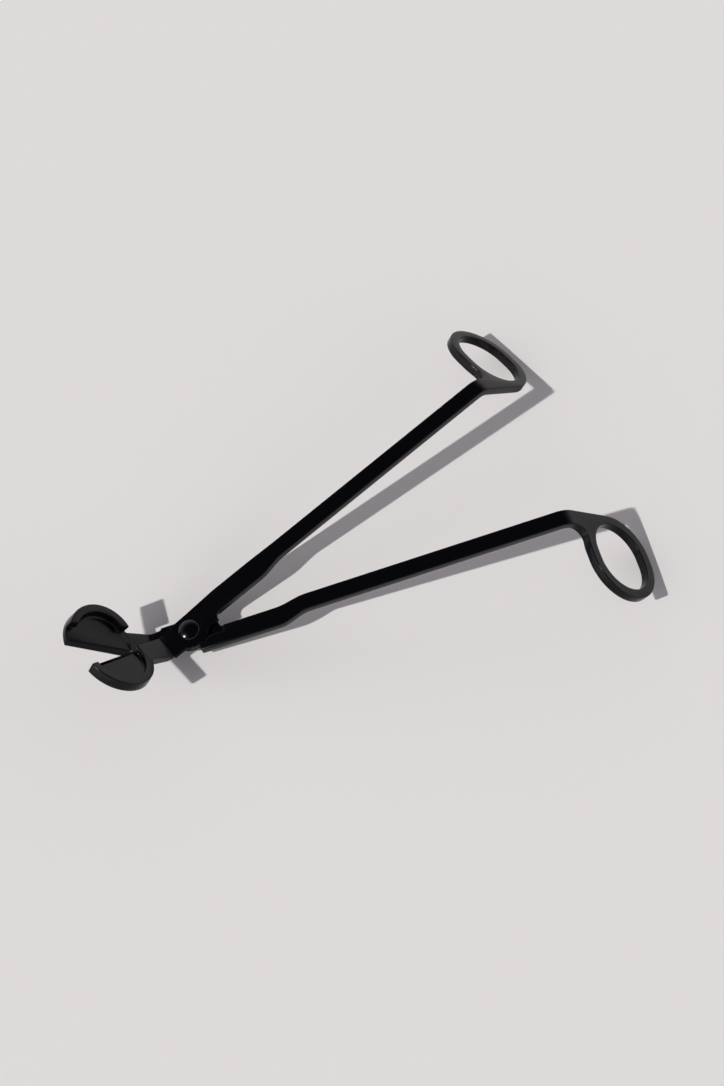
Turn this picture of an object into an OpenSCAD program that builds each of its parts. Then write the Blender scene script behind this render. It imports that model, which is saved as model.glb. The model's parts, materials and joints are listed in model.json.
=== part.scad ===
// Wick trimmer: two crossed steel halves turning on one domed rivet.
// Each half is a single piece: tray blade, neck, boss, arm and finger ring.
// The blades bend up at the head and the rings bend down at the far end, so the trimmer
// rests on the two ring ends and on the bend below the head, with Z = 0 as the table.

/* [Pose and length] */
// Distance from the pivot to the bend into the finger ring
arm_reach = 123.6; // [95:0.1:150]
// Angle each half stands off the closed position at rest
rest_angle = 11.7; // [6:0.1:16]
// Angle of the bends at the head and at the rings
bend_angle = 48; // [40:0.5:54]

/* [Arms] */
// Width of each arm
arm_w = 5.2; // [4:0.1:7]
// Thickness of the bar that each half is made from
bar_t = 2.9; // [2.4:0.1:3.8]
// Clearance from the centre line to each arm when closed
arm_gap = 0.3; // [0.2:0.05:0.6]
// Width of the upper half's bar beside the boss
upper_root_w = 6.9; // [6:0.1:8]
// Width of the lower half's bar beside the boss
lower_root_w = 6.2; // [5.5:0.1:8]
// How much the upper half's bar narrows on its outer side at the boss
upper_root_drop = 0.7; // [0:0.1:1.2]
// Distance from the pivot to where that bar has its full width
root_full_x = 14; // [12:0.5:20]
// How far the bars step sideways beside the boss
root_shift = 1.5; // [0.8:0.1:2]
// Distance from the pivot to the start of the sideways step
step_x = 28; // [22:0.5:36]
// Length of the sideways step
step_len = 10; // [6:0.5:16]

/* [Boss and rivet] */
// Radius of the lapped boss on each half
boss_r = 6.2; // [5.4:0.1:7]
// Distance from the pivot to the straight outer side of the boss
boss_side = 4.9; // [4.4:0.1:5.6]
// Clearance round each boss and its tab
lap_clear = 0.4; // [0.3:0.05:0.6]
// Length from the pivot to the end of the tab in the fork
tab_len = 9.3; // [8.5:0.1:11]
// How far the tab reaches past the centre line
tab_reach = 3.5; // [2:0.1:4]
// Radius of the corner between the tab and the bar
fork_r = 2.2; // [1:0.1:2.6]
// Gap between the two lapped faces
lap_gap = 0.06; // [0.04:0.01:0.1]
// Radius of the rivet's shank
shank_r = 2; // [1.6:0.1:2.4]
// Running clearance of the upper half on the shank
run_clear = 0.05; // [0.02:0.01:0.08]
// Radius of the rivet's domed head
head_r = 3.4; // [3:0.1:4.2]
// Height of the domed head
head_h = 1.3; // [0.9:0.1:1.6]
// Radius of the formed end under the lower half
tail_r = 3; // [2.7:0.1:3.6]
// Height of the formed end
tail_h = 0.8; // [0.5:0.1:1.1]

/* [Trays] */
// Distance from the pivot to the bend up into the head
head_x = 8.8; // [8:0.1:11]
// Outer radius of each tray
tray_r = 11.5; // [10:0.1:13]
// Distance from the head bend to the upper tray's centre
upper_tray_u = 19.8; // [18:0.1:22]
// How much further out the lower tray's centre lies
tray_lead = 1.7; // [0:0.1:2.4]
// Width of the raised rim
rim_w = 2.6; // [1.8:0.1:3.4]
// Depth of the upper tray's recess
upper_depth = 1.5; // [1:0.1:1.8]
// Overall thickness of the upper tray
upper_tray_t = 3.4; // [3:0.1:4]
// Height of the lower tray's rim above its floor
lower_rim_h = 3; // [2:0.1:3.1]
// Thickness of the lower tray's floor
lower_floor_t = 2; // [1.6:0.1:2.6]
// Gap between the two blades when closed
blade_gap = 0.3; // [0.28:0.01:0.5]
// How far each blade edge laps past the centre line at its tray's centre
blade_lap = 1.6; // [1:0.1:2]
// Slope of the blade edges away from the centre line
edge_slope = 6.6; // [5:0.1:8]
// Width of the ground slope on the lower blade's edge
lower_bevel = 1.4; // [0.8:0.1:1.8]
// Width of the ground slope on the upper blade's edge
upper_bevel = 0.8; // [0.4:0.1:1.2]
// Half width of the neck at the head bend
neck_half_w = 4.3; // [3.8:0.1:4.8]
// Half width of the neck where it meets the tray
neck_tip_w = 3.4; // [3:0.1:4]
// Thickness of the upper neck
upper_neck_t = 2.5; // [2:0.1:2.7]

/* [Finger rings] */
// Half height of each finger hole, along the slope of the ring
hole_r = 10.4; // [9:0.1:12]
// Straight stretch added on each side of the hole's middle
hole_flat = 1.5; // [0.5:0.1:3]
// Width of the band round the hole
band_w = 3.2; // [2.6:0.1:4.2]
// Distance from the ring bend to the middle of the hole
ring_u = 19.8; // [19:0.1:23]
// Radius of the bend over the arm's top face
ring_bend_r = 7; // [5:0.1:9]
// Radius of the corner where the arm meets the ring
crotch_r = 4; // [1.5:0.1:5]

/* [Hidden] */
$fn = 96;
half_t = bar_t / 2;
sin_b = sin(bend_angle);
cos_b = cos(bend_angle);
ring_r = hole_r + band_w;
ring_v = arm_gap + hole_flat + ring_r;
bend_back = ring_bend_r * tan(bend_angle / 2);
bend_steps = 8;
// The bend's straight end runs this far into the ring, short of the finger hole
plate_lap = ring_u - hole_r - bend_back - 0.4;
// The ring's root crosses the outlines it joins by this much
root_lap = 0.04;
lower_floor_w = -upper_tray_t - blade_gap;
lower_base_w = lower_floor_w - lower_floor_t;
// A rim starts this far short of the centre line, clear of the other neck
rim_start_v = -neck_tip_w - 0.4;
slit = 2 * tray_r;
upper_inner = arm_gap - root_shift;
lower_inner = arm_gap + root_shift;
// The full bar starts here, outside the circle that the other half's tab sweeps
seat_x = norm([tab_len + fork_r * 0.4, lower_inner]) + lap_clear / 2;
// The bar starts here, inside the boss
bar_start_x = 2;
// Slope of the boss's straight side, and its turn on the lower half, under the upper one
boss_slope = 3;
lower_side_turn = 2 * rest_angle + boss_slope + 180;

// The trimmer is tipped about Y until the ring ends and the head bend share one level.
base_bend_x = bend_x(lower_base_w, -half_t);
rest_head_x = base_bend_x * cos(rest_angle) - neck_half_w * sin(rest_angle);
foot_u = ring_u + ring_r;
foot_v = ring_v + hole_flat;
foot_half_x = arm_reach + foot_u * cos_b - bar_t * sin_b;
foot_x = foot_half_x * cos(rest_angle) - foot_v * sin(rest_angle);
foot_z = half_t - foot_u * sin_b - bar_t * cos_b;
rest_tilt = atan2(-half_t - foot_z, foot_x - rest_head_x);
rest_lift = -(rest_head_x * sin(rest_tilt) - half_t * cos(rest_tilt));
tip_u = upper_tray_u + tray_lead + tray_r;
tip_x = -(head_x + tip_u * cos_b) + lower_base_w * sin_b;
tip_z = half_t + tip_u * sin_b + lower_base_w * cos_b;
tail_end_x = (arm_reach + foot_u * cos_b) * cos(rest_angle) - (ring_v - hole_flat) * sin(rest_angle);
tail_end_z = half_t - foot_u * sin_b;
front_x = tip_x * cos(rest_angle) * cos(rest_tilt) - tip_z * sin(rest_tilt);
back_x = tail_end_x * cos(rest_tilt) - tail_end_z * sin(rest_tilt);
rest_shift = -(front_x + back_x) / 2;

// Where the head plane at depth w crosses the level z, as a distance along X
function bend_x(w, z) = -head_x - cos_b * (z - half_t - w * cos_b) / sin_b + w * sin_b;
// A point of the head's side view, u along the blade and w above its top face
function head_point(u, w) = [-head_x - u * cos_b + w * sin_b, half_t + u * sin_b + w * cos_b];
function ease(t) = t * t * (3 - 2 * t);
function stepped(x, near, far) = near + (far - near) * ease(min(1, max(0, (x - step_x) / step_len)));

// ---- frames -------------------------------------------------------------------------

module at_rest() {
    translate([rest_shift, 0, rest_lift])
        rotate([0, -rest_tilt, 0])
            children();
}

// side is 1 for the upper half and -1 for the lower half
module as_half(side) {
    at_rest()
        rotate([0, 0, side * rest_angle])
            mirror([0, side < 0 ? 1 : 0, 0])
                children();
}

module head_frame() {
    translate([-head_x, 0, half_t])
        rotate([0, bend_angle, 0])
            mirror([1, 0, 0])
                children();
}

module ring_frame() {
    translate([arm_reach, 0, half_t])
        rotate([0, bend_angle, 0])
            children();
}

// A flat layer between two levels
module layer(low, high) {
    translate([0, 0, low])
        linear_extrude(height = high - low)
            children();
}

// ---- arm and ring -------------------------------------------------------------------

// Plan of the bar from the boss to the ring bend; inner is its near edge beside the boss,
// and root_drop is how much narrower it is where it starts
module bar_plan(inner, root_w, root_drop) {
    stations = [for (i = [0:8]) step_x + step_len * i / 8, arm_reach - bend_back];
    last = len(stations) - 1;
    near_edge = [for (x = stations) [x, stepped(x, inner, arm_gap)]];
    far_edge = [for (i = [last:-1:0]) let (x = stations[i])
        [x, stepped(x, inner + root_w, arm_gap + arm_w)]];
    polygon(concat(
        [[bar_start_x, inner]],
        near_edge,
        far_edge,
        [[root_full_x, inner + root_w], [bar_start_x, inner + root_w - root_drop]]
    ));
}

// Side view of the arm's last stretch, the bend and the first part of the ring's plate
module bend_profile() {
    centre = [arm_reach - bend_back, half_t - ring_bend_r];
    turn = [for (i = [0:bend_steps]) 90 - bend_angle * i / bend_steps];
    along = [cos_b, -sin_b];
    polygon(concat(
        [for (a = turn) centre + ring_bend_r * [cos(a), sin(a)]],
        [for (r = [ring_bend_r, ring_bend_r - bar_t])
            centre + r * [cos(90 - bend_angle), sin(90 - bend_angle)] + plate_lap * along],
        [for (i = [bend_steps:-1:0]) centre + (ring_bend_r - bar_t) * [cos(turn[i]), sin(turn[i])]],
        [for (z = [-half_t, half_t]) [centre[0] - 1, z]]
    ));
}

module ring_bend() {
    translate([0, arm_gap + arm_w, 0])
        rotate([90, 0, 0])
            linear_extrude(height = arm_w)
                bend_profile();
}

module rounded_slot(r) {
    for (s = [-1, 1])
        translate([ring_u, ring_v + s * hole_flat])
            circle(r = r);
    translate([ring_u - r, ring_v - hole_flat])
        square([2 * r, 2 * hole_flat]);
}

// The bar carried on into the ring, with a round filling the corner on its outer side
module root_plan() {
    near_v = arm_gap + arm_w;
    round_v = near_v + crotch_r;
    across = ring_v - hole_flat - round_v;
    round_u = ring_u - sqrt(pow(ring_r + crotch_r, 2) - across * across);
    toward_ring = atan2(across, ring_u - round_u);
    start_u = bend_back + plate_lap / 2;
    polygon(concat(
        [for (i = [0:6]) let (a = -90 + (90 + toward_ring) * i / 6)
            [round_u, round_v] + (crotch_r + root_lap) * [cos(a), sin(a)]],
        [[ring_u, near_v + 1], [ring_u, arm_gap + root_lap]],
        [[start_u, arm_gap + root_lap], [start_u, near_v - 1], [round_u, near_v - 1]]
    ));
}

module ring_plan() {
    difference() {
        union() {
            rounded_slot(ring_r);
            root_plan();
        }
        rounded_slot(hole_r);
    }
}

module arm_and_ring() {
    ring_bend();
    ring_frame()
        layer(-bar_t, 0)
            ring_plan();
}

// ---- boss ---------------------------------------------------------------------------

// The boss, with one straight side square to the direction side_angle
module boss_plan(side_angle) {
    intersection() {
        circle(r = boss_r);
        rotate([0, 0, side_angle])
            translate([boss_side - 2 * boss_r, -2 * boss_r])
                square([2 * boss_r, 4 * boss_r]);
    }
}

// Fills the corner between the tab's end and the bar with a round
module fork_corner_plan(inner) {
    centre = [tab_len + fork_r, inner - fork_r];
    polygon(concat(
        [for (i = [0:6]) centre + (fork_r + root_lap) * [cos(180 - 15 * i), sin(180 - 15 * i)]],
        [[tab_len + fork_r, inner + 1], [tab_len - 1, inner + 1], [tab_len - 1, inner - fork_r]]
    ));
}

// Plan of a lapped layer: boss, tab in the fork and the start of the bar
module lap_plan(inner, root_w, root_drop, side_angle) {
    boss_plan(side_angle);
    translate([0, -tab_reach])
        square([tab_len, 2 * tab_reach]);
    fork_corner_plan(inner);
    intersection() {
        bar_plan(inner, root_w, root_drop);
        translate([0, -slit])
            square([seat_x, 2 * slit]);
    }
    translate([-head_x, -neck_half_w])
        square([head_x, 2 * neck_half_w]);
}

// Plan of the part of the bar that stands beside the other half's boss
module beside_boss_plan(inner, root_w, root_drop) {
    difference() {
        bar_plan(inner, root_w, root_drop);
        circle(r = boss_r + lap_clear);
        translate([-1, inner - 1])
            square([seat_x + 1, 1 + tab_reach + lap_clear - inner]);
    }
}

// ---- head ---------------------------------------------------------------------------

// Side view of the neck between depths top_w and base_w, bent up from the lap
module neck_profile(top_w, base_w, top_z, base_z, u_end) {
    polygon([
        [0, base_z],
        [0, top_z],
        [bend_x(top_w, top_z), top_z],
        head_point(u_end, top_w),
        head_point(u_end, base_w),
        [bend_x(base_w, base_z), base_z]
    ]);
}

module neck(top_w, base_w, top_z, base_z, u_end, far_tip) {
    far_x = -head_point(u_end, base_w)[0] + 1;
    intersection() {
        translate([0, 2 * neck_half_w, 0])
            rotate([90, 0, 0])
                linear_extrude(height = 4 * neck_half_w)
                    neck_profile(top_w, base_w, top_z, base_z, u_end);
        layer(-bar_t, tip_z + bar_t)
            polygon([
                [0, -neck_half_w],
                [-head_x + 3, -neck_half_w],
                [-head_x - 2, -neck_tip_w],
                [-far_x, -neck_tip_w],
                [-far_x, far_tip],
                [-head_x, neck_half_w],
                [0, neck_half_w]
            ]);
    }
}

// Everything on the tray's side of the blade edge, moved out by extra
module blade_side(tray_u, extra) {
    translate([tray_u, blade_lap + extra])
        rotate([0, 0, -edge_slope])
            translate([-slit, -2 * slit])
                square([2 * slit, 2 * slit]);
}

module tray_disc(tray_u, r) {
    translate([tray_u, 0.6])
        circle(r = r);
}

module tray_plan(tray_u, extra) {
    intersection() {
        tray_disc(tray_u, tray_r);
        blade_side(tray_u, extra);
    }
}

// Removes the ground slope along a blade edge, from top_w down to base_w
module edge_slope_cut(tray_u, extra, width, top_w, base_w) {
    depth = top_w - base_w;
    translate([tray_u, blade_lap + extra, base_w])
        rotate([0, 0, -edge_slope])
            rotate([90, 0, 90])
                translate([0, 0, -slit])
                    linear_extrude(height = 2 * slit)
                        polygon([
                            [0, 0],
                            [width, -depth * 0.05],
                            [width, depth + 6],
                            [-width - 6 * width / depth, depth + 6]
                        ]);
}

module upper_tray() {
    difference() {
        layer(-upper_tray_t, 0)
            tray_plan(upper_tray_u, 0);
        layer(-upper_depth, 1)
            tray_disc(upper_tray_u, tray_r - rim_w);
        intersection() {
            edge_slope_cut(upper_tray_u, 0, upper_bevel, -upper_depth, -upper_tray_t);
            layer(-upper_tray_t, 1)
                tray_disc(upper_tray_u, tray_r - rim_w);
        }
    }
}

module lower_tray() {
    tray_u = upper_tray_u + tray_lead;
    difference() {
        layer(lower_base_w, lower_floor_w)
            tray_plan(tray_u, lower_bevel);
        edge_slope_cut(tray_u, lower_bevel, lower_bevel, lower_floor_w, lower_base_w);
    }
    layer(lower_base_w, lower_floor_w + lower_rim_h)
        intersection() {
            difference() {
                tray_disc(tray_u, tray_r);
                tray_disc(tray_u, tray_r - rim_w);
            }
            translate([0, rim_start_v - slit])
                square([2 * slit + tray_u, slit]);
        }
}

// ---- the three pieces ---------------------------------------------------------------

module upper_half() {
    color([0.06, 0.06, 0.065])
        as_half(1)
            difference() {
                union() {
                    layer(lap_gap / 2, half_t)
                        lap_plan(upper_inner, upper_root_w, upper_root_drop, 90 + boss_slope);
                    layer(-half_t, half_t)
                        beside_boss_plan(upper_inner, upper_root_w, upper_root_drop);
                    arm_and_ring();
                    neck(0, -upper_neck_t, half_t, lap_gap / 2, upper_tray_u - tray_r + 2, neck_tip_w - 0.6);
                    head_frame()
                        upper_tray();
                }
                translate([0, 0, -bar_t])
                    cylinder(r = shank_r + run_clear, h = 2 * bar_t);
            }
}

module lower_half() {
    color([0.06, 0.06, 0.065])
        as_half(-1)
            difference() {
                union() {
                    layer(-half_t, -lap_gap / 2)
                        lap_plan(lower_inner, lower_root_w, 0, 90 - lower_side_turn);
                    layer(-half_t, half_t)
                        beside_boss_plan(lower_inner, lower_root_w, 0);
                    arm_and_ring();
                    neck(lower_floor_w, lower_base_w, -lap_gap / 2, -half_t,
                        upper_tray_u + tray_lead - tray_r + 1, neck_tip_w - 1.2);
                    head_frame()
                        lower_tray();
                }
                translate([0, 0, -bar_t])
                    cylinder(r = shank_r, h = 2 * bar_t);
            }
}

// Outline of the domed head, a low arc from the axis down to its edge
module dome_profile() {
    edge_h = 0.3;
    rise = head_h - edge_h;
    dome_r = (head_r * head_r + rise * rise) / (2 * rise);
    intersection() {
        square([head_r, head_h]);
        translate([0, head_h - dome_r])
            circle(r = dome_r);
    }
}

module pivot_rivet() {
    color([0.09, 0.09, 0.095])
        at_rest() {
            translate([0, 0, half_t + lap_gap / 2])
                rotate_extrude()
                    dome_profile();
            translate([0, 0, -half_t])
                cylinder(r = shank_r, h = bar_t + lap_gap);
            translate([0, 0, -half_t - tail_h])
                cylinder(r1 = tail_r - 0.4, r2 = tail_r, h = tail_h);
        }
}

lower_half();
upper_half();
pivot_rivet();
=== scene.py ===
"""Wick trimmer: two black coated steel halves that turn on one domed rivet.

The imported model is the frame. Each half keeps the head of its solid, with rounded edges and soft
folds, and gets an arm and a finger ring that are laid out flat and then bent. The rivet is rolled
from its section, and all of them get a satin black coat.
"""
import json
import logging
import math
from dataclasses import dataclass, field
from enum import Enum
from typing import Any, Mapping, Optional, Sequence, Union

import bmesh
import bpy
from mathutils import Matrix, Vector
from mathutils.bvhtree import BVHTree


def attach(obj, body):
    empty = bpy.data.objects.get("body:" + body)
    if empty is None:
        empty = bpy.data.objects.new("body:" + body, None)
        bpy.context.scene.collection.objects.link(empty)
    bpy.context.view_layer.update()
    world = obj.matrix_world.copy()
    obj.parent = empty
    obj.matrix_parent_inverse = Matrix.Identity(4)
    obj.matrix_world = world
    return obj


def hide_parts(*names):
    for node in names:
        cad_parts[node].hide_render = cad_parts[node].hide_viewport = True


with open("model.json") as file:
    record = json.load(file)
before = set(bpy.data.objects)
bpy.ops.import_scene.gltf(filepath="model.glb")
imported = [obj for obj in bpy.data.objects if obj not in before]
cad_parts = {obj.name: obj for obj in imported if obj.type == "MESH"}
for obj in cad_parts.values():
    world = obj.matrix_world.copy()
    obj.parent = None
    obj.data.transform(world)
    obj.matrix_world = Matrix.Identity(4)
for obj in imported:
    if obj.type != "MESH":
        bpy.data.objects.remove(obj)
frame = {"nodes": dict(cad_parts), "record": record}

LOG = logging.getLogger("wick_trimmer")
MM = 0.001
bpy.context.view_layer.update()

SMOOTH = math.radians(26)  # faces that meet at less than this are shaded as one surface
JOINED = 0.002  # corners of a finished piece that are closer than this, in mm, are one
ON_PLANE = 1e-4  # a corner this close to a cutting plane, in mm, lies on it


class Side(Enum):
    """The two halves, named for the layer that each one is at the rivet."""

    UPPER = "upper_half"
    LOWER = "lower_half"

    @property
    def sign(self) -> int:
        """1 where the arm leans towards +Y at rest, and -1 where it leans towards -Y."""
        return 1 if self is Side.UPPER else -1

    @property
    def body(self) -> str:
        """The body that this half turns with."""
        return "upper_body" if self is Side.UPPER else "lower_body"


class EdgeKind(Enum):
    """How an edge of a half is rounded; the value is the width of the rounding in mm."""

    FOLD = 1.5
    DISH = 0.8
    RECESS = 0.5
    CORNER = 0.7
    OUTER = 0.3
    BLADE = 0.08


def pivot_place() -> Matrix:
    """The pivot's place and lean: its axis is Z in the halves' own frames."""
    joint = frame["record"]["behaviour"]["joints"][0]
    axis = Vector(joint["axis"])
    lean = Matrix.Rotation(math.atan2(axis.x, axis.z), 4, "Y")
    return Matrix.Translation(joint["pos_m"]) @ lean


# ---- shader maths -----------------------------------------------------------------------

Number = Union[int, float]


class Signal:
    """A shader value that takes part in Python sums; each operator adds one Math node."""

    def __init__(self, bench: "Bench", socket: bpy.types.NodeSocket) -> None:
        """Wraps a socket.

        Args:
            bench: The bench that the socket's node stands on.
            socket: The output socket.
        """
        self.bench = bench
        self.socket = socket

    def _math(self, operation: str, *terms: Union["Signal", Number]) -> "Signal":
        """Adds a Math node.

        Args:
            operation: The node's operation.
            *terms: Its inputs, in order.

        Returns:
            The node's value.
        """
        inputs = dict(enumerate(terms))
        return self.bench.add("ShaderNodeMath", {"operation": operation}, inputs).out(0)

    def __add__(self, other: Union["Signal", Number]) -> "Signal":
        """self + other"""
        return self._math("ADD", self, other)

    __radd__ = __add__

    def __sub__(self, other: Union["Signal", Number]) -> "Signal":
        """self - other"""
        return self._math("SUBTRACT", self, other)

    def __rsub__(self, other: Union["Signal", Number]) -> "Signal":
        """other - self"""
        return self._math("SUBTRACT", other, self)

    def __mul__(self, other: Union["Signal", Number]) -> "Signal":
        """self * other"""
        return self._math("MULTIPLY", self, other)

    __rmul__ = __mul__

    def __truediv__(self, other: Union["Signal", Number]) -> "Signal":
        """self / other"""
        return self._math("DIVIDE", self, other)

    def __rtruediv__(self, other: Union["Signal", Number]) -> "Signal":
        """other / self"""
        return self._math("DIVIDE", other, self)

    def at_least(self, floor: float) -> "Signal":
        """The larger of this and a floor."""
        return self._math("MAXIMUM", self, floor)

    def at_most(self, roof: Union["Signal", Number]) -> "Signal":
        """The smaller of this and a roof."""
        return self._math("MINIMUM", self, roof)

    def sine(self) -> "Signal":
        """The sine, of an angle in radians."""
        return self._math("SINE", self)

    def cosine(self) -> "Signal":
        """The cosine, of an angle in radians."""
        return self._math("COSINE", self)

    def over(self, low: float, high: float) -> "Signal":
        """A smooth step from 0 at low to 1 at high.

        Args:
            low: The value below which the step is 0.
            high: The value above which it is 1.

        Returns:
            The step.
        """
        settings = {"interpolation_type": "SMOOTHSTEP"}
        inputs = {"Value": self, "From Min": low, "From Max": high}
        return self.bench.add("ShaderNodeMapRange", settings, inputs).out("Result")


class Placed:
    """A node on a bench, whose outputs are read as signals."""

    def __init__(self, bench: "Bench", node: bpy.types.Node) -> None:
        """Keeps the node and the bench that it stands on."""
        self.bench = bench
        self.node = node

    def out(self, name: Union[int, str]) -> Signal:
        """The output of that name or number."""
        return Signal(self.bench, self.node.outputs[name])


class Bench:
    """Adds nodes to one tree and links them."""

    def __init__(self, tree: bpy.types.NodeTree) -> None:
        """Keeps the tree."""
        self.tree = tree

    def add(
        self,
        kind: str,
        settings: Optional[Mapping[str, Any]] = None,
        inputs: Optional[Mapping[Union[int, str], Any]] = None,
    ) -> Placed:
        """Adds one node of any type.

        Args:
            kind: The node's type.
            settings: Its properties, set first. "stops" holds a ramp's positions and colours.
            inputs: A value or a Signal for each input, by name or number.

        Returns:
            The node, placed.
        """
        node = self.tree.nodes.new(kind)
        for name, value in (settings or {}).items():
            if name == "stops":
                self._set_stops(node.color_ramp, value)
            else:
                setattr(node, name, value)
        for name, value in (inputs or {}).items():
            self.feed(node.inputs[name], value)
        return Placed(self, node)

    def feed(self, socket: bpy.types.NodeSocket, value: Any) -> None:
        """Links a Signal to a socket, or sets the socket's own value."""
        if isinstance(value, Signal):
            self.tree.links.new(value.socket, socket)
        else:
            socket.default_value = value

    @staticmethod
    def _set_stops(ramp: bpy.types.ColorRamp, stops: Sequence[tuple]) -> None:
        """Sets a ramp's stops, each a position and a colour."""
        while len(ramp.elements) < len(stops):
            ramp.elements.new(1.0)
        for element, (position, colour) in zip(ramp.elements, stops):
            element.position = position
            element.color = colour


# ---- finishes ---------------------------------------------------------------------------


@dataclass(frozen=True)
class SatinBlackCoat:
    """A baked black coat on steel: almost black, satin, with a fine orange peel.

    Args:
        name: The material's name.
        shade: The colour of the coat.
        dust: The colour of the coat where it is rubbed along an edge.
        sheen_rough: Roughness of the smooth coat.
        rough_spread: How much the roughness wanders.
        peel_mm: Size of the orange peel.
        peel_depth_mm: Depth of the orange peel.
        speck_mm: Size of the finest specks.
        speck_rough: How much the specks change the roughness.
        speck_relief: Depth of the specks, as a share of the peel's.
        handling_mm: Size of the patches that are handled more.
        handling_span: Noise from which a patch starts to count, and at which it counts in full.
        grain_mm: Size of the rubbed spots.
        grain_span: Noise from which a spot starts to count, and at which it counts in full.
        rub: How strongly the edges are rubbed.
        rub_polish: How much smoother a rubbed edge is.
        gloss: Strength of the coat's reflections.
        refraction: Refractive index of the coat.
        noise_gain: Strength of each finer layer of a noise.
    """

    name: str
    shade: tuple = (0.0016, 0.0017, 0.0026, 1.0)
    dust: tuple = (0.026, 0.026, 0.027, 1.0)
    sheen_rough: float = 0.24
    rough_spread: float = 0.10
    peel_mm: float = 0.55
    peel_depth_mm: float = 0.003
    speck_mm: float = 0.16
    speck_rough: float = 0.06
    speck_relief: float = 0.25
    handling_mm: float = 14.0
    handling_span: tuple = (0.36, 0.62)
    grain_mm: float = 1.1
    grain_span: tuple = (0.50, 0.66)
    rub: float = 0.5
    rub_polish: float = 0.05
    gloss: float = 0.18
    refraction: float = 1.46
    noise_gain: float = 0.55

    def _noise(self, bench: Bench, place: Signal, size_mm: float, detail: float) -> Signal:
        """Noise of one size on the piece.

        Args:
            bench: The material's bench.
            place: Object coordinates.
            size_mm: The size of one blotch.
            detail: How many finer layers it has.

        Returns:
            The noise, about 0.5 on average.
        """
        inputs = {
            "Vector": place,
            "Scale": 1 / (size_mm * MM),
            "Detail": detail,
            "Roughness": self.noise_gain,
        }
        return bench.add("ShaderNodeTexNoise", None, inputs).out("Fac")

    def make(self) -> bpy.types.Material:
        """Builds the material.

        Returns:
            The material.
        """
        material = bpy.data.materials.new(self.name)
        material.use_nodes = True
        material.node_tree.nodes.clear()
        bench = Bench(material.node_tree)
        place = bench.add("ShaderNodeTexCoord").out("Object")
        edge = bench.add("ShaderNodeAttribute", {"attribute_name": "edge"}).out("Fac")

        handling = self._noise(bench, place, self.handling_mm, 3.0)
        grain = self._noise(bench, place, self.grain_mm, 4.0)
        peel = self._noise(bench, place, self.peel_mm, 2.0)
        speck = self._noise(bench, place, self.speck_mm, 1.0)

        spots = grain.over(*self.grain_span) * handling.over(*self.handling_span)
        worn = edge * spots * self.rub
        tone = bench.add(
            "ShaderNodeMix",
            {"data_type": "RGBA"},
            {"Factor": worn, "A": self.shade, "B": self.dust},
        ).out("Result")
        wander = (handling - 0.5) * self.rough_spread + (speck - 0.5) * self.speck_rough
        roughness = self.sheen_rough + wander
        height = peel + speck * self.speck_relief
        relief = bench.add(
            "ShaderNodeBump",
            None,
            {"Strength": 1.0, "Distance": self.peel_depth_mm * MM, "Height": height},
        ).out("Normal")
        shader = bench.add(
            "ShaderNodeBsdfPrincipled",
            None,
            {
                "Base Color": tone,
                "Roughness": roughness - worn * self.rub_polish,
                "Normal": relief,
                "IOR": self.refraction,
                "Specular IOR Level": self.gloss,
            },
        ).out("BSDF")
        bench.add("ShaderNodeOutputMaterial", None, {"Surface": shader})
        return material


@dataclass(frozen=True)
class PaleSheet:
    """The plain pale sheet that the trimmer lies on.

    Args:
        name: The material's name.
        shade: Its colour.
        roughness: Its roughness.
        gloss: Strength of its reflections.
        tooth_scale: Bumps of its faint tooth in a metre.
        tooth_depth: Depth of the tooth, in metres.
    """

    name: str = "pale_sheet"
    shade: tuple = (0.80, 0.79, 0.785, 1.0)
    roughness: float = 0.85
    gloss: float = 0.25
    tooth_scale: float = 900.0
    tooth_depth: float = 0.00002

    def make(self) -> bpy.types.Material:
        """Builds the material: matt paper with a very faint tooth."""
        material = bpy.data.materials.new(self.name)
        material.use_nodes = True
        material.node_tree.nodes.clear()
        bench = Bench(material.node_tree)
        place = bench.add("ShaderNodeTexCoord").out("Object")
        inputs = {"Vector": place, "Scale": self.tooth_scale, "Detail": 2.0}
        tooth = bench.add("ShaderNodeTexNoise", None, inputs).out("Fac")
        inputs = {"Distance": self.tooth_depth, "Height": tooth}
        relief = bench.add("ShaderNodeBump", None, inputs).out("Normal")
        shader = bench.add(
            "ShaderNodeBsdfPrincipled",
            None,
            {
                "Base Color": self.shade,
                "Roughness": self.roughness,
                "Specular IOR Level": self.gloss,
                "Normal": relief,
            },
        ).out("BSDF")
        bench.add("ShaderNodeOutputMaterial", None, {"Surface": shader})
        return material


# ---- bending and joining ----------------------------------------------------------------


def new_piece(name: str, data: bpy.types.ID) -> bpy.types.Object:
    """Makes an object, at the origin.

    Args:
        name: The object's name.
        data: Its mesh, light or camera.

    Returns:
        The object, in the scene.
    """
    piece = bpy.data.objects.new(name, data)
    bpy.context.scene.collection.objects.link(piece)
    return piece


def slice_at(shape: bmesh.types.BMesh, x: float, clear: bool = False) -> list:
    """Cuts a mesh across X.

    Args:
        shape: The mesh.
        x: Where it is cut.
        clear: Whether what lies beyond the cut is taken away.

    Returns:
        The edges on the cut.
    """
    cut = bmesh.ops.bisect_plane(
        shape,
        geom=shape.verts[:] + shape.edges[:] + shape.faces[:],
        dist=ON_PLANE,
        plane_co=(x, 0, 0),
        plane_no=(1, 0, 0),
        clear_outer=clear,
    )
    return [item for item in cut["geom_cut"] if isinstance(item, bmesh.types.BMEdge)]


def face_outwards(shape: bmesh.types.BMesh) -> None:
    """Turns every face of a closed mesh outwards."""
    bmesh.ops.recalc_face_normals(shape, faces=shape.faces)
    if shape.calc_volume(signed=True) < 0:
        bmesh.ops.reverse_faces(shape, faces=shape.faces)


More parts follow.
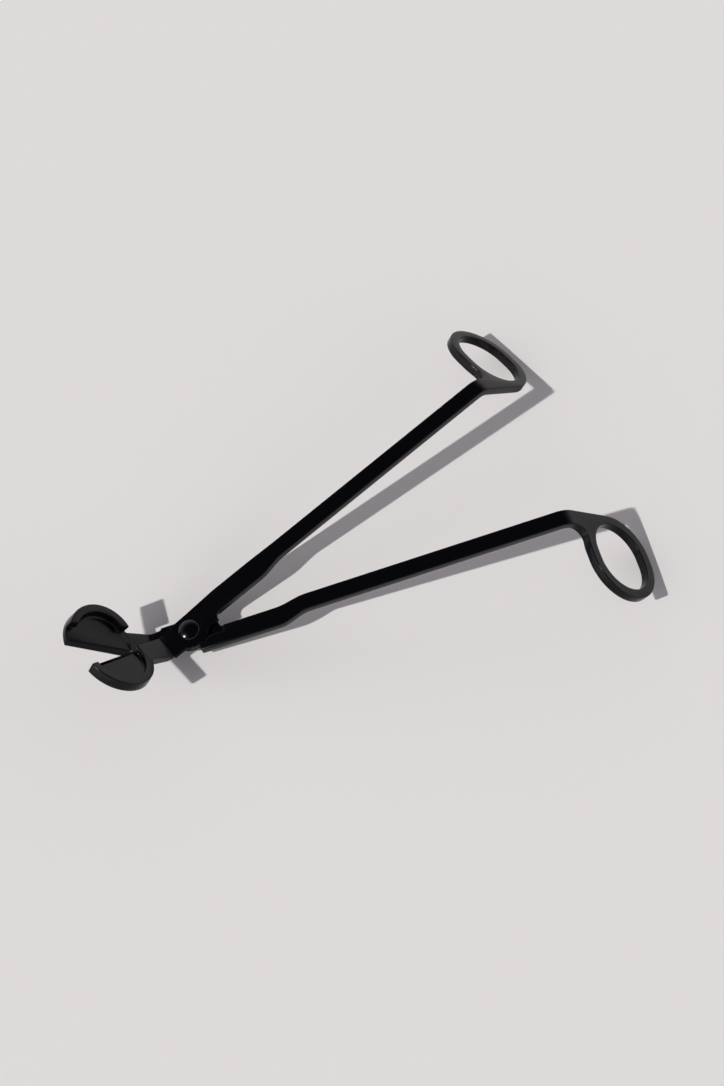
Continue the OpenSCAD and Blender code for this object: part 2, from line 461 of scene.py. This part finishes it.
def plain_mesh(piece: bpy.types.Object) -> bpy.types.Mesh:
    """A plain mesh of the piece as its modifiers leave it; the modifiers are then removed.

    Args:
        piece: The piece.

    Returns:
        The mesh, which is also the piece's new one.
    """
    evaluated = piece.evaluated_get(bpy.context.evaluated_depsgraph_get())
    plain = bpy.data.meshes.new_from_object(evaluated)
    piece.modifiers.clear()
    piece.data = plain
    return plain


class Recipe:
    """A geometry tree with named inputs, which ends in Realize Instances and Set Material."""

    def __init__(self, name: str, inputs: Mapping[str, float]) -> None:
        """Starts the tree.

        Args:
            name: The tree's name.
            inputs: Its named inputs and their usual values.
        """
        self.tree = bpy.data.node_groups.new(name, "GeometryNodeTree")
        face = self.tree.interface
        face.new_socket("Geometry", in_out="INPUT", socket_type="NodeSocketGeometry")
        for label, value in inputs.items():
            socket = face.new_socket(label, in_out="INPUT", socket_type="NodeSocketFloat")
            socket.default_value = value
        face.new_socket("Finish", in_out="INPUT", socket_type="NodeSocketMaterial")
        face.new_socket("Geometry", in_out="OUTPUT", socket_type="NodeSocketGeometry")
        self.bench = Bench(self.tree)
        self.given = self.bench.add("NodeGroupInput")

    def place(self) -> tuple:
        """The X, Y and Z of each point."""
        spot = self.bench.add("GeometryNodeInputPosition").out("Position")
        split = self.bench.add("ShaderNodeSeparateXYZ", None, {"Vector": spot})
        return split.out("X"), split.out("Y"), split.out("Z")

    def move(self, x: Signal, y: Signal, z: Signal) -> Signal:
        """Moves each point to a new place.

        Args:
            x: Its new X.
            y: Its new Y.
            z: Its new Z.

        Returns:
            The moved geometry.
        """
        parts = {"X": x, "Y": y, "Z": z}
        spot = self.bench.add("ShaderNodeCombineXYZ", None, parts).out("Vector")
        inputs = {"Geometry": self.given.out("Geometry"), "Position": spot}
        return self.bench.add("GeometryNodeSetPosition", None, inputs).out("Geometry")

    def end(self, geometry: Signal) -> None:
        """Closes the tree over its last geometry."""
        real = self.bench.add("GeometryNodeRealizeInstances", None, {"Geometry": geometry})
        dressed = self.bench.add(
            "GeometryNodeSetMaterial",
            None,
            {"Geometry": real.out("Geometry"), "Material": self.given.out("Finish")},
        )
        self.bench.add("NodeGroupOutput", None, {"Geometry": dressed.out("Geometry")})

    def apply(self, piece: bpy.types.Object, values: Mapping[str, Any]) -> bpy.types.Mesh:
        """Runs the tree on a piece.

        Args:
            piece: The piece.
            values: The modifier's inputs, by name.

        Returns:
            The piece's plain mesh.
        """
        modifier = piece.modifiers.new(self.tree.name, "NODES")
        modifier.node_group = self.tree
        for item in self.tree.interface.items_tree:
            if item.item_type == "SOCKET" and item.in_out == "INPUT" and item.name in values:
                modifier[item.identifier] = values[item.name]
        return plain_mesh(piece)


def bending_recipe() -> Recipe:
    """The rule that bends a flat bar down round a cylinder; its middle keeps its length.

    Returns:
        The tree, with the bend's start, its angle and the radius of the bar's middle as inputs.
    """
    recipe = Recipe("bend_the_bar", {"Start": 120.0, "Angle": 0.8, "Middle radius": 5.5})
    given = recipe.given
    start, angle, radius = given.out("Start"), given.out("Angle"), given.out("Middle radius")
    along, across, above = recipe.place()
    past = (along - start).at_least(0.0)
    in_bend = past.at_most(radius * angle)
    straight = past - in_bend
    turn = in_bend / radius
    reach = radius + above
    x = along - past + reach * turn.sine() + straight * turn.cosine()
    z = reach * turn.cosine() - radius - straight * turn.sine()
    recipe.end(recipe.move(x, across, z))
    return recipe


def turning_recipe() -> Recipe:
    """The rule that rolls a sheet round an axis: X is the radius, Y the turn and Z the height.

    Returns:
        The tree, with the gap under which its points are joined as an input.
    """
    recipe = Recipe("roll_round_the_axis", {"Least gap": JOINED})
    radius, turn, height = recipe.place()
    rolled = recipe.move(radius * turn.cosine(), radius * turn.sine(), height)
    inputs = {"Geometry": rolled, "Distance": recipe.given.out("Least gap")}
    recipe.end(recipe.bench.add("GeometryNodeMergeByDistance", None, inputs).out("Geometry"))
    return recipe


# ---- arm and finger ring ----------------------------------------------------------------

Rim = list[tuple[Vector, Vector]]  # points of an edge, and the directions out of the steel there
ARC_STEP = 3.75  # degrees between the points of an arc


def arc(centre: Vector, radius: float, first: float, last: float, hollow: bool = False) -> Rim:
    """Points on an arc, with the direction that faces out of the steel.

    Args:
        centre: The arc's centre.
        radius: Its radius.
        first: Where it starts, in degrees.
        last: Where it ends.
        hollow: Whether the steel is outside the arc.

    Returns:
        The points and directions, in order.
    """
    steps = max(2, round(abs(last - first) / ARC_STEP))
    rim = []
    for i in range(steps + 1):
        turn = math.radians(first + (last - first) * i / steps)
        way = Vector((math.cos(turn), math.sin(turn)))
        rim.append((centre + way * radius, -way if hollow else way))
    return rim


@dataclass
class ArmAndRing:
    """The arm from its step to the end of the finger ring, laid out flat and then bent.

    Args:
        cut_x: Where it joins the root of the half, in mm.
        arm_reach: Distance from the pivot to the ring bend.
        arm_w: Width of the arm.
        arm_gap: Distance from the centre line to the arm.
        bar_t: Thickness of the bar.
        hole_r: Half height of the finger hole.
        hole_flat: Straight stretch on each side of the hole's middle.
        band_w: Width of the band round the hole.
        ring_u: Distance from the bend to the middle of the hole.
        bend_r: Radius of the bend over the top face.
        bend_angle: Degrees of the bend.
        crotch_r: Radius of the corner between arm and ring.
        edge_r: Radius of the rounded edges.
        edge_steps: Facets across a rounded edge.
        bend_cuts: Facets along the bend.
    """

    cut_x: float = 42.0
    arm_reach: float = 123.6
    arm_w: float = 5.2
    arm_gap: float = 0.3
    bar_t: float = 2.9
    hole_r: float = 10.4
    hole_flat: float = 1.5
    band_w: float = 3.2
    ring_u: float = 19.8
    bend_r: float = 7.0
    bend_angle: float = 48.0
    crotch_r: float = 4.0
    edge_r: float = 0.3
    edge_steps: int = 4
    bend_cuts: int = 14

    def __post_init__(self) -> None:
        """Works out where things lie once the bar is flat."""
        self.middle_r = self.bend_r - self.bar_t / 2
        self.turn = math.radians(self.bend_angle)
        back = self.bend_r * math.tan(self.turn / 2)
        self.bend_x = self.arm_reach - back
        self.bend_end = self.bend_x + self.middle_r * self.turn
        self.ring_x = self.bend_end + self.ring_u - back
        self.ring_r = self.hole_r + self.band_w
        near_y = self.arm_gap + self.ring_r
        self.centres = (
            Vector((self.ring_x, near_y)),
            Vector((self.ring_x, near_y + 2 * self.hole_flat)),
        )

    def _outline(self) -> Rim:
        """The outer edge, from the cut along the inner side, round the ring and back."""
        near, far = self.centres
        arm_side = self.arm_gap + self.arm_w
        corner_y = arm_side + self.crotch_r
        across = near.y - corner_y
        along = math.sqrt((self.ring_r + self.crotch_r) ** 2 - across ** 2)
        corner = Vector((self.ring_x - along, corner_y))
        lean = math.degrees(math.atan2(across, along))
        rim = [(Vector((self.cut_x, self.arm_gap)), Vector((0, -1)))]
        rim += arc(near, self.ring_r, -90, 0) + arc(far, self.ring_r, 0, 180)
        rim += arc(near, self.ring_r, 180, 180 + lean)
        rim += arc(corner, self.crotch_r, lean, -90, hollow=True)[1:]
        rim.append((Vector((self.cut_x, arm_side)), Vector((0, 1))))
        return rim

    def _hole(self) -> Rim:
        """The edge of the finger hole."""
        near, far = self.centres
        rim = arc(near, self.hole_r, 180, 360, hollow=True)
        return rim + arc(far, self.hole_r, 0, 180, hollow=True)

    def _wall(self, shape: bmesh.types.BMesh, rim: Rim, closed: bool) -> tuple:
        """Builds the side wall along a rim, with rounded edges above and below.

        Args:
            shape: The mesh to build in.
            rim: The rim.
            closed: Whether its end meets its start.

        Returns:
            The edges that bound the top face and the bottom face.
        """
        top = []
        for i in range(self.edge_steps + 1):
            a = math.radians(90 * i / self.edge_steps)
            level = self.bar_t / 2 - self.edge_r * (1 - math.sin(a))
            top.append((self.edge_r * (1 - math.cos(a)), level))
        levels = [(inset, -z) for inset, z in reversed(top)] + top
        rows = []
        for inset, z in levels:
            rows.append([shape.verts.new((*(point - way * inset), z)) for point, way in rim])
        count = len(rim) if closed else len(rim) - 1
        for low, high in zip(rows, rows[1:]):
            for i in range(count):
                j = (i + 1) % len(rim)
                shape.faces.new((low[i], low[j], high[j], high[i]))
        bounds = []
        for row in (rows[-1], rows[0]):
            edges = [shape.edges.get((row[i], row[(i + 1) % len(rim)])) for i in range(count)]
            if not closed:
                edges.append(shape.edges.new((row[-1], row[0])))
            bounds.append(edges)
        return tuple(bounds)

    def flat(self) -> bpy.types.Mesh:
        """The flat bar with its ring, open at the cut.

        Returns:
            The mesh, in mm.
        """
        shape = bmesh.new()
        outer = self._wall(shape, self._outline(), closed=False)
        inner = self._wall(shape, self._hole(), closed=True)
        for outside, inside in zip(outer, inner):
            bmesh.ops.triangle_fill(shape, edges=outside + inside, use_beauty=True)
        for i in range(self.bend_cuts + 1):
            station = self.bend_x + (self.bend_end - self.bend_x) * i / self.bend_cuts
            slice_at(shape, station)
        mesh = bpy.data.meshes.new("arm_and_ring")
        shape.to_mesh(mesh)
        shape.free()
        return mesh

    def build(self, recipe: Recipe, finish: bpy.types.Material) -> bpy.types.Object:
        """Bends the flat bar.

        Args:
            recipe: The bending rule.
            finish: The coat.

        Returns:
            The bent arm and ring, in mm in the half's own frame.
        """
        piece = new_piece("arm_and_ring", self.flat())
        values = {"Start": self.bend_x, "Angle": self.turn, "Middle radius": self.middle_r}
        recipe.apply(piece, {**values, "Finish": finish})
        return piece


# ---- the two halves ---------------------------------------------------------------------

SHARP = 24  # degrees from which an edge is rounded; under it the surface is smooth
FOLD_MOST = 56  # degrees up to which an edge across the bar is a fold
CORNER_LEAST = 30  # degrees from which an upright edge is a corner
PARALLEL = 0.97  # cosine from which an edge runs along an axis
CROSSING = 0.2  # cosine under which it runs across one
FOLD_REACH = 6  # mm from the head bend in which a fold lies
FOOT_NEAR = 0.2  # mm between an edge and the foot of the tray's wall
BLADE_FROM = 9  # mm from the head bend at which the cutting edge starts
BLADE_SPREAD = 3  # mm that the cutting edge reaches past the tray's inner wall
BLADE_SIDES = (-1, 5)  # mm across the blade between which the cutting edge lies
WELD = 0.05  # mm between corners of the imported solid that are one
CUT_NEAR = 0.01  # mm between a corner and the cut on which it lies
SEAM = 0.03  # mm between corners of the root and the arm that are one
FLAT = math.radians(0.4)  # faces that meet at less than this are made one
LEAST_ROUND = 0.04  # mm, the narrowest rounding
ROOM_SHARE = 0.95  # share of the room that a rounding takes
IN_LINE = 0.9  # cosine from which a neighbouring edge only carries an edge on
WIDE_ROUND = 1  # mm from which a rounding may take all the room beside it


@dataclass
class TrimmerHalf:
    """One half: tray blade, neck and boss from its solid, and the arm and finger ring.

    Args:
        side: Which half this is.
        finish: The coat.
        bend: The bending rule.
        arm: The arm and ring.
        rest_angle: Degrees that the half stands off the closed position at rest.
        head_angle: Degrees of the bend at the head.
        head_x: Distance from the pivot to the head bend, in mm.
        half_t: Half the bar's thickness, in mm.
        tray_u: Distance from the head bend to the tray's centre, in mm.
        tray_v: Distance from the centre line to the tray's centre, in mm.
        inner_r: Radius of the tray inside its rim, in mm.
        floor_w: Level of the tray's floor under the neck's top plane, in mm.
        stray: Furthest that a rounding may leave the solid's surface, in mm.
    """

    side: Side
    finish: bpy.types.Material
    bend: Recipe
    arm: ArmAndRing = field(default_factory=ArmAndRing)
    rest_angle: float = 11.7
    head_angle: float = 48.0
    head_x: float = 8.8
    half_t: float = 1.45
    tray_u: float = 19.8
    tray_v: float = 0.6
    inner_r: float = 8.9
    floor_w: float = -1.5
    stray: float = 0.36

    def placing(self) -> Matrix:
        """The place of the half's own frame in mm: pivot at its origin, arm along X."""
        turn = Matrix.Rotation(math.radians(self.side.sign * self.rest_angle), 4, "Z")
        flip = Matrix.Diagonal((1, self.side.sign, 1, 1))
        return pivot_place() @ turn @ flip @ Matrix.Scale(MM, 4)

    def on_blade(self, point: Vector) -> Vector:
        """A point of the half's frame in the blade's frame: along it, across it, above it."""
        turn = math.radians(self.head_angle)
        x, z = point.x + self.head_x, point.z - self.half_t
        along = -x * math.cos(turn) + z * math.sin(turn)
        above = x * math.sin(turn) + z * math.cos(turn)
        return Vector((along, point.y, above))

    def on_cut(self, point: Vector) -> bool:
        """Whether a point of the half's frame lies on the cut between root and arm."""
        return abs(point.x - self.arm.cut_x) < CUT_NEAR

    def kind_of(self, edge: bmesh.types.BMEdge) -> Optional[EdgeKind]:
        """How an edge is rounded.

        Args:
            edge: An edge of the welded solid, in the half's own frame.

        Returns:
            The kind, or None where the edge lies in a smooth surface or on the cut.
        """
        angle = math.degrees(edge.calc_face_angle(0.0))
        ends = [v.co for v in edge.verts]
        if angle < SHARP or all(self.on_cut(end) for end in ends):
            return None
        middle = (ends[0] + ends[1]) / 2
        along = (ends[1] - ends[0]).normalized()
        spot = self.on_blade(middle)
        from_centre = math.hypot(spot.x - self.tray_u, spot.y - self.tray_v)
        across_bar = abs(along.y) > PARALLEL and middle.x < 0
        if across_bar and angle < FOLD_MOST and spot.x < FOLD_REACH:
            return EdgeKind.FOLD
        at_floor = abs(spot.z - self.floor_w) < FOOT_NEAR
        at_wall = abs(from_centre - self.inner_r) < FOOT_NEAR
        if at_floor and at_wall and not edge.is_convex:
            return EdgeKind.DISH if self.side is Side.LOWER else EdgeKind.RECESS
        least, most = BLADE_SIDES
        by_blade = from_centre < self.inner_r + BLADE_SPREAD and least < spot.y < most
        if spot.x > BLADE_FROM and by_blade and abs(along.y) < CROSSING:
            return EdgeKind.BLADE
        if abs(along.z) > PARALLEL and angle > CORNER_LEAST and abs(middle.x) < self.head_x:
            return EdgeKind.CORNER
        return EdgeKind.OUTER

    @staticmethod
    def room_for(edge: bmesh.types.BMEdge, kind: EdgeKind) -> float:
        """The width that the edges beside this one leave for its rounding.

        Args:
            edge: The edge.
            kind: How it would be rounded.

        Returns:
            The width, in mm.
        """
        width = kind.value
        way = (edge.verts[1].co - edge.verts[0].co).normalized()
        for corner in edge.verts:
            for other in corner.link_edges:
                reach = other.other_vert(corner).co - corner.co
                if other is edge or abs(reach.normalized().dot(way)) > IN_LINE:
                    continue
                spare = reach.length / 2
                if width > WIDE_ROUND:
                    spare = reach.length - EdgeKind.OUTER.value
                width = min(width, max(LEAST_ROUND, ROOM_SHARE * spare))
        return width

    def _head(self, mesh: bpy.types.Mesh) -> bmesh.types.BMesh:
        """The head and root of the half, cut from its solid.

        Args:
            mesh: A copy of the solid's mesh.

        Returns:
            The shape in mm in the half's own frame, closed at the cut.
        """
        shape = bmesh.new()
        shape.from_mesh(mesh)
        bmesh.ops.remove_doubles(shape, verts=shape.verts, dist=WELD * MM)
        shape.transform(self.placing().inverted())
        if self.side.sign < 0:
            bmesh.ops.reverse_faces(shape, faces=shape.faces)
        bmesh.ops.contextual_create(shape, geom=slice_at(shape, self.arm.cut_x, clear=True))
        bmesh.ops.dissolve_limit(shape, angle_limit=FLAT, verts=shape.verts, edges=shape.edges)
        return shape

    def _root(self) -> bpy.types.Object:
        """The head and root of the half, with every edge rounded.

        Returns:
            The piece in mm in the half's own frame, closed at the cut.
        """
        mesh = frame["nodes"][self.side.value].data.copy()
        mesh.materials.clear()
        shape = self._head(mesh)
        weights = shape.edges.layers.float.new("bevel_weight_edge")
        widest = max(kind.value for kind in EdgeKind)
        for edge in shape.edges:
            kind = self.kind_of(edge)
            if kind is not None:
                edge[weights] = self.room_for(edge, kind) / widest
        surface = BVHTree.FromBMesh(shape)
        shape.to_mesh(mesh)
        shape.free()
        piece = new_piece(f"{self.side.value}_root", mesh)
        mesh.materials.append(self.finish)
        rounding = piece.modifiers.new("rounding", "BEVEL")
        rounding.limit_method = "WEIGHT"
        rounding.width = widest
        rounding.segments = self.arm.edge_steps
        rounding.use_clamp_overlap = False
        strays = 0
        for corner in plain_mesh(piece).vertices:
            nearest, _, _, gap = surface.find_nearest(corner.co)
            if gap > self.stray:
                corner.co = nearest
                strays += 1
        LOG.info("%s: %d stray corners brought back", self.side.value, strays)
        return piece

    def _mark_edges(self, mesh: bpy.types.Mesh) -> None:
        """Marks the rounded edges, where a coat is rubbed first.

        Args:
            mesh: The finished mesh.
        """
        small = (4 * self.arm.edge_r * MM) ** 2
        count = [[0, 0] for _ in mesh.vertices]
        for face in mesh.polygons:
            for index in face.vertices:
                count[index][0] += 1
                count[index][1] += face.area < small
        mark = mesh.attributes.new("edge", "FLOAT", "POINT")
        for (total, narrow), spot in zip(count, mark.data):
            spot.value = 1.0 if total and narrow == total else 0.0

    def build(self) -> bpy.types.Object:
        """Joins the root to the arm and ring.

        Returns:
            The finished piece, riding on its body.
        """
        parts = [self._root(), self.arm.build(self.bend, self.finish)]
        shape = bmesh.new()
        for part in parts:
            shape.from_mesh(part.data)
            bpy.data.objects.remove(part)
        cap = [face for face in shape.faces if all(self.on_cut(v.co) for v in face.verts)]
        bmesh.ops.delete(shape, geom=cap, context="FACES_ONLY")
        seam = [v for v in shape.verts if self.on_cut(v.co)]
        bmesh.ops.remove_doubles(shape, verts=seam, dist=SEAM)
        bmesh.ops.remove_doubles(shape, verts=shape.verts, dist=JOINED)
        bmesh.ops.dissolve_degenerate(shape, dist=JOINED, edges=shape.edges)
        open_edges = sum(1 for e in shape.edges if len(e.link_faces) != 2)
        LOG.info("%s: %d open edges, %d in the seam", self.side.value, open_edges, len(seam))
        shape.transform(self.placing())
        face_outwards(shape)
        mesh = bpy.data.meshes.new(f"{self.side.value}_steel")
        shape.to_mesh(mesh)
        shape.free()
        mesh.materials.append(self.finish)
        self._mark_edges(mesh)
        mesh.shade_smooth()
        mesh.set_sharp_from_angle(angle=SMOOTH)
        piece = new_piece(f"{self.side.value}_steel", mesh)
        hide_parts(self.side.value)
        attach(piece, self.side.body)
        return piece


# ---- the rivet --------------------------------------------------------------------------


@dataclass
class DomedRivet:
    """The rivet that both halves turn on, turned from its section about the pivot's axis.

    Args:
        finish: The coat.
        turning: The rule that rolls its section round the axis.
        head_r: Radius of the domed head, in mm.
        head_h: Height of the domed head, in mm.
        edge_h: Height of the head's straight edge, in mm.
        shank_r: Radius of the shank, in mm.
        tail_r: Radius of the formed end, in mm.
        tail_drawn: How far the formed end has drawn in, and at what depth, in mm.
        seat: Level of the upper half's top face, in mm.
        foot: Level of the lower half's bottom face, in mm.
        soft: Width of the softened edge of the head, in mm.
        soft_slope: Rise of the dome across that width.
        dome_steps: Facets from the top of the dome to its edge.
        turns: Points round the axis.
    """

    finish: bpy.types.Material
    turning: Recipe
    head_r: float = 3.4
    head_h: float = 1.3
    edge_h: float = 0.3
    shank_r: float = 2.0
    tail_r: float = 3.0
    seat: float = 1.48
    foot: float = -1.45
    tail_drawn: tuple = ((0.0, 0.0), (0.1, 0.3), (0.4, 0.7), (0.55, 0.8))
    soft: float = 0.12
    soft_slope: float = 0.3
    dome_steps: int = 12
    turns: int = 96

    def section(self) -> list:
        """Corners of the half section from the top of the dome to the middle of the formed end."""
        rise = self.head_h - self.edge_h
        round_r = (self.head_r ** 2 + rise ** 2) / (2 * rise)
        lean = math.asin(self.head_r / round_r)
        centre = self.seat + self.head_h - round_r
        points = []
        for i in range(self.dome_steps + 1):
            a = lean * i / self.dome_steps
            points.append((round_r * math.sin(a), centre + round_r * math.cos(a)))
        lip = points[-1][1] + self.soft * self.soft_slope
        points[-1] = (self.head_r - self.soft, lip)
        points += [(self.head_r, self.seat + self.edge_h - self.soft), (self.head_r, self.seat)]
        points += [(self.shank_r, self.seat), (self.shank_r, self.foot)]
        points += [(self.tail_r - inset, self.foot - depth) for inset, depth in self.tail_drawn]
        points.append((0.0, points[-1][1]))
        return points

    def sheet(self) -> bpy.types.Mesh:
        """The rivet's surface unrolled: radius along X, turn in radians along Y, height along Z.

        Returns:
            The sheet.
        """
        section = self.section()
        turns = [2 * math.pi * i / self.turns for i in range(self.turns + 1)]
        corners = [(radius, turn, level) for turn in turns for radius, level in section]
        size = len(section)
        faces = []
        for i in range(self.turns):
            for j in range(size - 1):
                near, far = i * size + j, (i + 1) * size + j
                faces.append((near, near + 1, far + 1, far))
        mesh = bpy.data.meshes.new("pivot_rivet_sheet")
        mesh.from_pydata(corners, [], faces)
        return mesh

    def build(self) -> bpy.types.Object:
        """Turns the rivet.

        Returns:
            The finished piece, riding on the lower half's body.
        """
        piece = new_piece("pivot_rivet_turned", self.sheet())
        mesh = self.turning.apply(piece, {"Least gap": JOINED, "Finish": self.finish})
        mesh.transform(pivot_place() @ Matrix.Scale(MM, 4))
        shape = bmesh.new()
        shape.from_mesh(mesh)
        face_outwards(shape)
        shape.to_mesh(mesh)
        shape.free()
        mesh.shade_smooth()
        mesh.set_sharp_from_angle(angle=SMOOTH)
        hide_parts("pivot_rivet")
        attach(piece, "lower_body")
        return piece


# ---- the room ---------------------------------------------------------------------------


@dataclass
class Studio:
    """Floor, light and camera.

    Args:
        eye: The camera's place, in mm.
        aim: The point that it looks at, in mm.
        roll: Degrees that it is turned about its line of sight.
        lens: Focal length, in mm.
        key_way: Direction that the key light shines in.
        key_strength: Strength of the key light.
        key_width: Degrees across the key light.
        key_tint: Colour of the key light.
        low_glow: Colour of the room near the horizon.
        high_glow: Colour of the room overhead.
        glow_span: Heights at which the first colour ends and the second begins.
        floor_half: Half the width of the floor, in metres.
        sensor: Long side of the camera's frame, in mm.
        clip_from: Distance from which the camera sees, in metres.
    """

    eye: tuple = (-113.8, -244.8, 505.9)
    aim: tuple = (11.08, 4.95, 0.0)
    roll: float = -0.962
    lens: float = 59.0
    key_way: tuple = (0.776, 0.030, -0.630)
    key_strength: float = 2.85
    key_width: float = 1.6
    key_tint: tuple = (1.0, 0.985, 0.96)
    low_glow: tuple = (1.40, 1.33, 1.40, 1.0)
    high_glow: tuple = (0.018, 0.019, 0.024, 1.0)
    glow_span: tuple = (0.26, 0.68)
    floor_half: float = 3.0
    sensor: float = 36.0
    clip_from: float = 0.01

    def build(self) -> None:
        """Makes the floor, the lights and the camera."""
        self._floor()
        self._key()
        self._room()
        self._camera()

    def _floor(self) -> None:
        """A wide pale sheet at the level of the table."""
        half = self.floor_half
        mesh = bpy.data.meshes.new("floor")
        corners = [(-half, -half, 0), (half, -half, 0), (half, half, 0), (-half, half, 0)]
        mesh.from_pydata(corners, [], [(0, 1, 2, 3)])
        mesh.materials.append(PaleSheet().make())
        new_piece("floor", mesh)

    def _key(self) -> None:
        """The key light, low and from the blades' side."""
        light = bpy.data.lights.new("key", "SUN")
        light.energy = self.key_strength
        light.angle = math.radians(self.key_width)
        light.color = self.key_tint
        lamp = new_piece("key", light)
        lamp.rotation_euler = Vector(self.key_way).to_track_quat("-Z", "Y").to_euler()

    def _room(self) -> None:
        """A dim room, brighter near the horizon than overhead."""
        world = bpy.data.worlds.new("room")
        world.use_nodes = True
        world.node_tree.nodes.clear()
        bench = Bench(world.node_tree)
        way = bench.add("ShaderNodeTexCoord").out("Generated")
        height = bench.add("ShaderNodeSeparateXYZ", None, {"Vector": way}).out("Z")
        low_end, high_start = self.glow_span
        stops = [(0.0, self.low_glow), (low_end, self.low_glow), (high_start, self.high_glow)]
        glow = bench.add("ShaderNodeValToRGB", {"stops": stops}, {"Fac": height}).out("Color")
        inputs = {"Color": glow, "Strength": 1.0}
        sky = bench.add("ShaderNodeBackground", None, inputs).out("Background")
        bench.add("ShaderNodeOutputWorld", None, {"Surface": sky})
        bpy.context.scene.world = world

    def _camera(self) -> None:
        """The camera, looking down over the blades."""
        eye, aim = Vector(self.eye) * MM, Vector(self.aim) * MM
        back = (eye - aim).normalized()
        level = Vector((0, 0, 1)).cross(back).normalized()
        rise = back.cross(level)
        roll = math.radians(self.roll)
        right = math.cos(roll) * level + math.sin(roll) * rise
        up = back.cross(right)
        data = bpy.data.cameras.new("camera")
        data.lens = self.lens
        data.sensor_width = self.sensor
        data.clip_start = self.clip_from
        camera = new_piece("camera", data)
        columns = Matrix((right, up, back)).transposed().to_4x4()
        camera.matrix_world = Matrix.Translation(eye) @ columns
        bpy.context.scene.camera = camera
        bpy.context.scene.view_settings.view_transform = "Standard"


def main() -> None:
    """Builds the trimmer and the room round it."""
    logging.basicConfig(level=logging.INFO, format="%(message)s")
    Studio().build()
    coat = SatinBlackCoat("black_coat").make()
    bend = bending_recipe()
    upper = TrimmerHalf(Side.UPPER, coat, bend)
    lower = TrimmerHalf(Side.LOWER, coat, bend, tray_u=21.5, floor_w=-3.7)
    polished = SatinBlackCoat("rivet_coat", sheen_rough=0.17, gloss=0.25).make()
    rivet = DomedRivet(polished, turning_recipe())
    for maker in (upper, lower, rivet):
        piece = maker.build()
        LOG.info("%s: %d faces", piece.name, len(piece.data.polygons))


if __name__ == "__main__":
    main()
